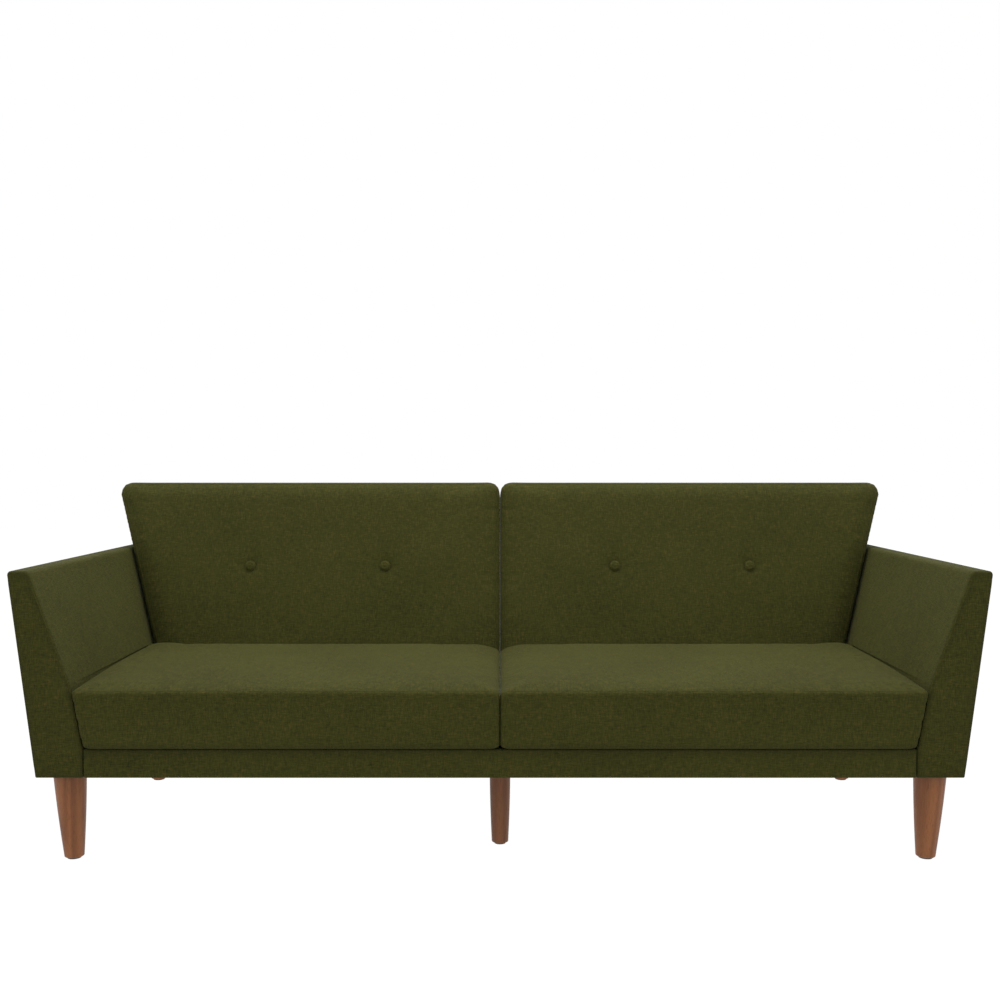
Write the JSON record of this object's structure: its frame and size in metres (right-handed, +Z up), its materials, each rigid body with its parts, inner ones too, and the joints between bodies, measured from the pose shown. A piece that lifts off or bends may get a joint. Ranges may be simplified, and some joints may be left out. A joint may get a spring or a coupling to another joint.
{
  "type": "futon sofa bed",
  "caption": "Upholstered sofa bed with flared fixed arms, split folding backs on ratchet hinges, loose-look seat cushions, buttoned backs and turned wooden legs.",
  "frame": {"origin": "On the floor, under the middle of the whole sofa with the backs upright.", "axes": "+X to the viewer's right when facing the seat, +Y from the front to the rear, +Z up."},
  "size_m": [2.12, 0.852, 0.822],
  "materials": {
    "upholstery": "heathered linen-look weave",
    "leg_wood": "satin walnut stain",
    "frame_timber": "planed pine",
    "frame_plywood": "bare plywood",
    "spring_steel": "drawn wire",
    "hinge_steel": "black coated plate",
    "fastener_steel": "zinc plated",
    "webbing": "woven elastic strap",
    "lining": "non-woven lining",
    "glide_plastic": "moulded"
  },
  "bodies": {
    "base": {"arm_bolts": "fastener_steel", "bracket_screws": "fastener_steel", "centre_leg": "leg_wood", "centre_rail": "frame_timber", "dust_cover": "lining", "front_left_leg": "leg_wood", "front_rail": "frame_timber", "front_rail_cover": "upholstery", "front_right_leg": "leg_wood", "hinge_pins": "fastener_steel", "left_arm_base": "frame_timber", "left_arm_pad": "upholstery", "left_arm_panel": "frame_plywood", "left_arm_post": "frame_timber", "left_inner_seat_bracket": "hinge_steel", "left_outer_seat_bracket": "hinge_steel", "left_seat_cushion": "upholstery", "left_side_rail": "frame_timber", "leg_bolts": "fastener_steel", "leg_glides": "glide_plastic", "pawl_pins": "fastener_steel", "pawl_springs": "spring_steel", "rear_left_leg": "leg_wood", "rear_rail": "frame_timber", "rear_right_leg": "leg_wood", "right_arm_base": "frame_timber", "right_arm_pad": "upholstery", "right_arm_panel": "frame_plywood", "right_arm_post": "frame_timber", "right_inner_seat_bracket": "hinge_steel", "right_outer_seat_bracket": "hinge_steel", "right_seat_cushion": "upholstery", "right_side_rail": "frame_timber", "seat_springs": "spring_steel", "spring_clips": "spring_steel"},
    "left_back": {"left_back_bottom_rail": "frame_timber", "left_back_buttons": "upholstery", "left_back_cushion": "upholstery", "left_back_stiles": "frame_plywood", "left_back_top_rail": "frame_timber", "left_back_webbing": "webbing", "left_bracket_bolts": "fastener_steel", "left_inner_back_bracket": "hinge_steel", "left_outer_back_bracket": "hinge_steel", "left_rear_cover": "upholstery"},
    "right_back": {"right_back_bottom_rail": "frame_timber", "right_back_buttons": "upholstery", "right_back_cushion": "upholstery", "right_back_stiles": "frame_plywood", "right_back_top_rail": "frame_timber", "right_back_webbing": "webbing", "right_bracket_bolts": "fastener_steel", "right_inner_back_bracket": "hinge_steel", "right_outer_back_bracket": "hinge_steel", "right_rear_cover": "upholstery"},
    "left_outer_latch": {"left_outer_pawl": "hinge_steel"},
    "left_inner_latch": {"left_inner_pawl": "hinge_steel"},
    "right_outer_latch": {"right_outer_pawl": "hinge_steel"},
    "right_inner_latch": {"right_inner_pawl": "hinge_steel"}
  },
  "joints": [
    {"name": "left_back_recline", "type": "hinge", "parent": "base", "child": "left_back", "pos_m": [-0.45, 0.214, 0.308], "axis": [-1, 0, 0], "range_deg": [-5, 70]},
    {"name": "left_outer_latch_lift", "type": "hinge", "parent": "base", "child": "left_outer_latch", "pos_m": [-0.861, 0.20649, 0.25453], "axis": [1, 0, 0], "range_deg": [0, 12]},
    {"name": "left_inner_latch_lift", "type": "hinge", "parent": "base", "child": "left_inner_latch", "pos_m": [-0.029, 0.20649, 0.25453], "axis": [1, 0, 0], "range_deg": [0, 12]},
    {"name": "right_back_recline", "type": "hinge", "parent": "base", "child": "right_back", "pos_m": [0.45, 0.214, 0.308], "axis": [-1, 0, 0], "range_deg": [-5, 70]},
    {"name": "right_outer_latch_lift", "type": "hinge", "parent": "base", "child": "right_outer_latch", "pos_m": [0.861, 0.20649, 0.25453], "axis": [1, 0, 0], "range_deg": [0, 12]},
    {"name": "right_inner_latch_lift", "type": "hinge", "parent": "base", "child": "right_inner_latch", "pos_m": [0.029, 0.20649, 0.25453], "axis": [1, 0, 0], "range_deg": [0, 12]}
  ],
  "couplings": [
    {"joint": "left_inner_latch_lift", "follows": "left_outer_latch_lift", "ratio": 1},
    {"joint": "right_inner_latch_lift", "follows": "right_outer_latch_lift", "ratio": 1}
  ]
}
